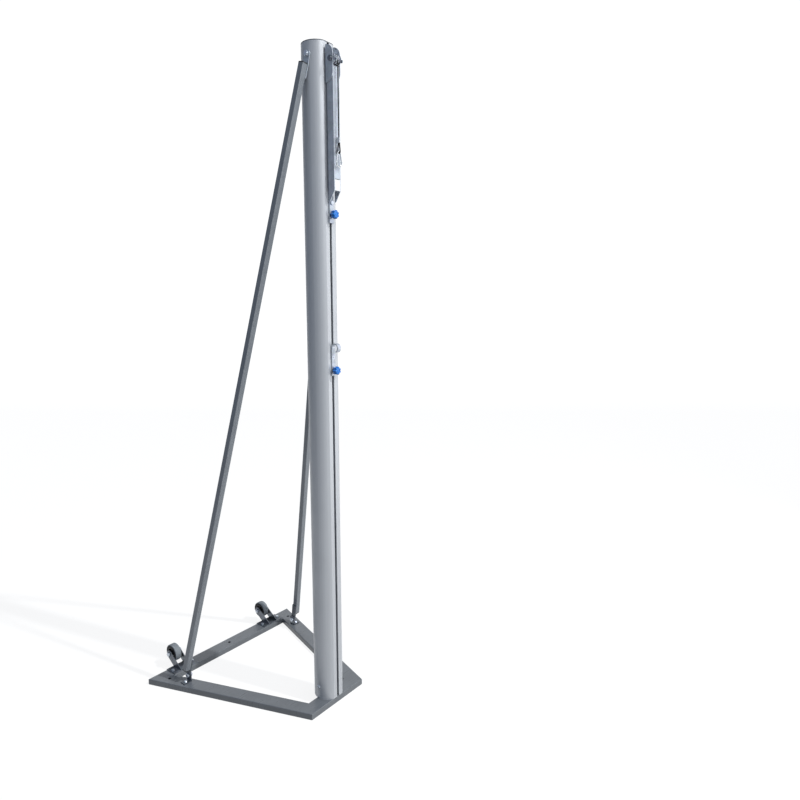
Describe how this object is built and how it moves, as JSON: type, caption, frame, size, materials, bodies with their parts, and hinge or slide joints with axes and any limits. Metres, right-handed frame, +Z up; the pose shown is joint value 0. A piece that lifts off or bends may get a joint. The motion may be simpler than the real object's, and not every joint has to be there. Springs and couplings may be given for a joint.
{
  "type": "volleyball net post",
  "caption": "Free-standing volleyball net post: wheeled trapezoid base, railed round column, rear struts, sliding net hook and lever cable tensioner.",
  "frame": {"origin": "on the floor, on the nose bar's bottom face, under the axis of the round column", "axes": "+X towards the net, through the rail; +Y to the left seen from behind the base; +Z up the column"},
  "size_m": [0.8619, 0.808, 2.55],
  "materials": {
    "silver_paint": "satin silver-grey powder coat",
    "anodised_aluminium": "satin anodised",
    "zinc_plate": "bright zinc plate",
    "polished_steel": "polished",
    "crimped_aluminium": "plain crimped",
    "black_plastic": "matt black",
    "grey_plastic": "satin grey",
    "wheel_hub": "matt black",
    "grey_tread": "matt grey rubber",
    "blue_plastic": "glossy blue",
    "white_plastic": "light grip block",
    "coated_cable": "black coated wire rope"
  },
  "bodies": {
    "post": {"nose_bar": "silver_paint", "left_arm": "silver_paint", "right_arm": "silver_paint", "rear_bar": "silver_paint", "foot_spigot": "silver_paint", "column": "anodised_aluminium", "column_screws": "zinc_plate", "top_cap": "grey_plastic", "left_strut": "silver_paint", "right_strut": "silver_paint", "left_upper_ear": "zinc_plate", "right_upper_ear": "zinc_plate", "left_lower_ear": "zinc_plate", "right_lower_ear": "zinc_plate", "strut_caps": "black_plastic", "brace_bolt": "zinc_plate", "brace_nut": "zinc_plate", "brace_washers": "zinc_plate", "left_foot_bracket": "zinc_plate", "right_foot_bracket": "zinc_plate", "foot_bolts": "zinc_plate", "foot_nuts": "zinc_plate", "bracket_screws": "zinc_plate", "left_caster_bracket": "zinc_plate", "right_caster_bracket": "zinc_plate", "caster_bolts": "zinc_plate", "wheel_axles": "zinc_plate", "axle_nuts": "zinc_plate"},
    "left_wheel": {"left_wheel_hub": "wheel_hub", "left_tyre": "grey_tread"},
    "right_wheel": {"right_wheel_hub": "wheel_hub", "right_tyre": "grey_tread"},
    "net_hook": {"hook_plate": "zinc_plate", "hook_slide_nut": "zinc_plate", "hook_screw": "zinc_plate"},
    "hook_clamp": {"hook_stud": "black_plastic", "hook_knob": "blue_plastic"},
    "tensioner": {"tension_bar": "zinc_plate", "tension_slide_nuts": "zinc_plate", "tension_bolt": "zinc_plate", "head_screw": "zinc_plate", "head_bracket": "zinc_plate", "pivot_bolt": "zinc_plate", "pivot_nut": "zinc_plate", "pulley_spacers": "zinc_plate"},
    "tension_clamp": {"tension_stud": "black_plastic", "tension_knob": "blue_plastic"},
    "tension_lever": {"lever": "zinc_plate", "lever_grip": "white_plastic", "keeper_pin": "zinc_plate", "cable_anchor": "zinc_plate", "cable_run": "coated_cable", "cable": "coated_cable", "ferrule": "crimped_aluminium", "cable_eye": "coated_cable"},
    "cable_pulley": {"pulley": "zinc_plate"},
    "snap_hook": {"carabiner": "polished_steel", "gate_pin": "polished_steel"},
    "snap_gate": {"carabiner_gate": "polished_steel"}
  },
  "joints": [
    {"name": "left_wheel_spin", "type": "hinge", "parent": "post", "child": "left_wheel", "pos_m": [-0.7142, 0.256, 0.073], "axis": [0, 1, 0], "continuous": true},
    {"name": "right_wheel_spin", "type": "hinge", "parent": "post", "child": "right_wheel", "pos_m": [-0.7142, -0.256, 0.073], "axis": [0, 1, 0], "continuous": true},
    {"name": "hook_slide", "type": "slide", "parent": "post", "child": "net_hook", "axis": [0, 0, 1], "range_m": [-1.2, 0.03]},
    {"name": "hook_knob_turn", "type": "hinge", "parent": "net_hook", "child": "hook_clamp", "pos_m": [0.0531, 0, 1.38], "axis": [1, 0, 0], "range_deg": [0, 540]},
    {"name": "tensioner_slide", "type": "slide", "parent": "post", "child": "tensioner", "axis": [0, 0, 1], "range_m": [-0.4, 0.02]},
    {"name": "tension_knob_turn", "type": "hinge", "parent": "tensioner", "child": "tension_clamp", "pos_m": [0.0531, 0, 1.955], "axis": [1, 0, 0], "range_deg": [0, 540]},
    {"name": "lever_pivot", "type": "hinge", "parent": "tensioner", "child": "tension_lever", "pos_m": [0.0823, 0, 2.484], "axis": [0, -1, 0], "range_deg": [0, 115]},
    {"name": "pulley_turn", "type": "hinge", "parent": "tensioner", "child": "cable_pulley", "pos_m": [0.0823, 0, 2.484], "axis": [0, -1, 0], "range_deg": [0, 115]},
    {"name": "snap_hook_swing", "type": "hinge", "parent": "tension_lever", "child": "snap_hook", "pos_m": [0.0993, 0, 2.1714], "axis": [0, -1, 0], "range_deg": [-5, 110]},
    {"name": "gate_turn", "type": "hinge", "parent": "snap_hook", "child": "snap_gate", "pos_m": [0.0993, 0.01283, 2.13656], "axis": [1, 0, 0], "range_deg": [0, 28], "stiffness_Nm_per_rad": 0.02, "springref_deg": -28.65}
  ],
  "couplings": [
    {"joint": "pulley_turn", "follows": "lever_pivot", "ratio": 1}
  ]
}
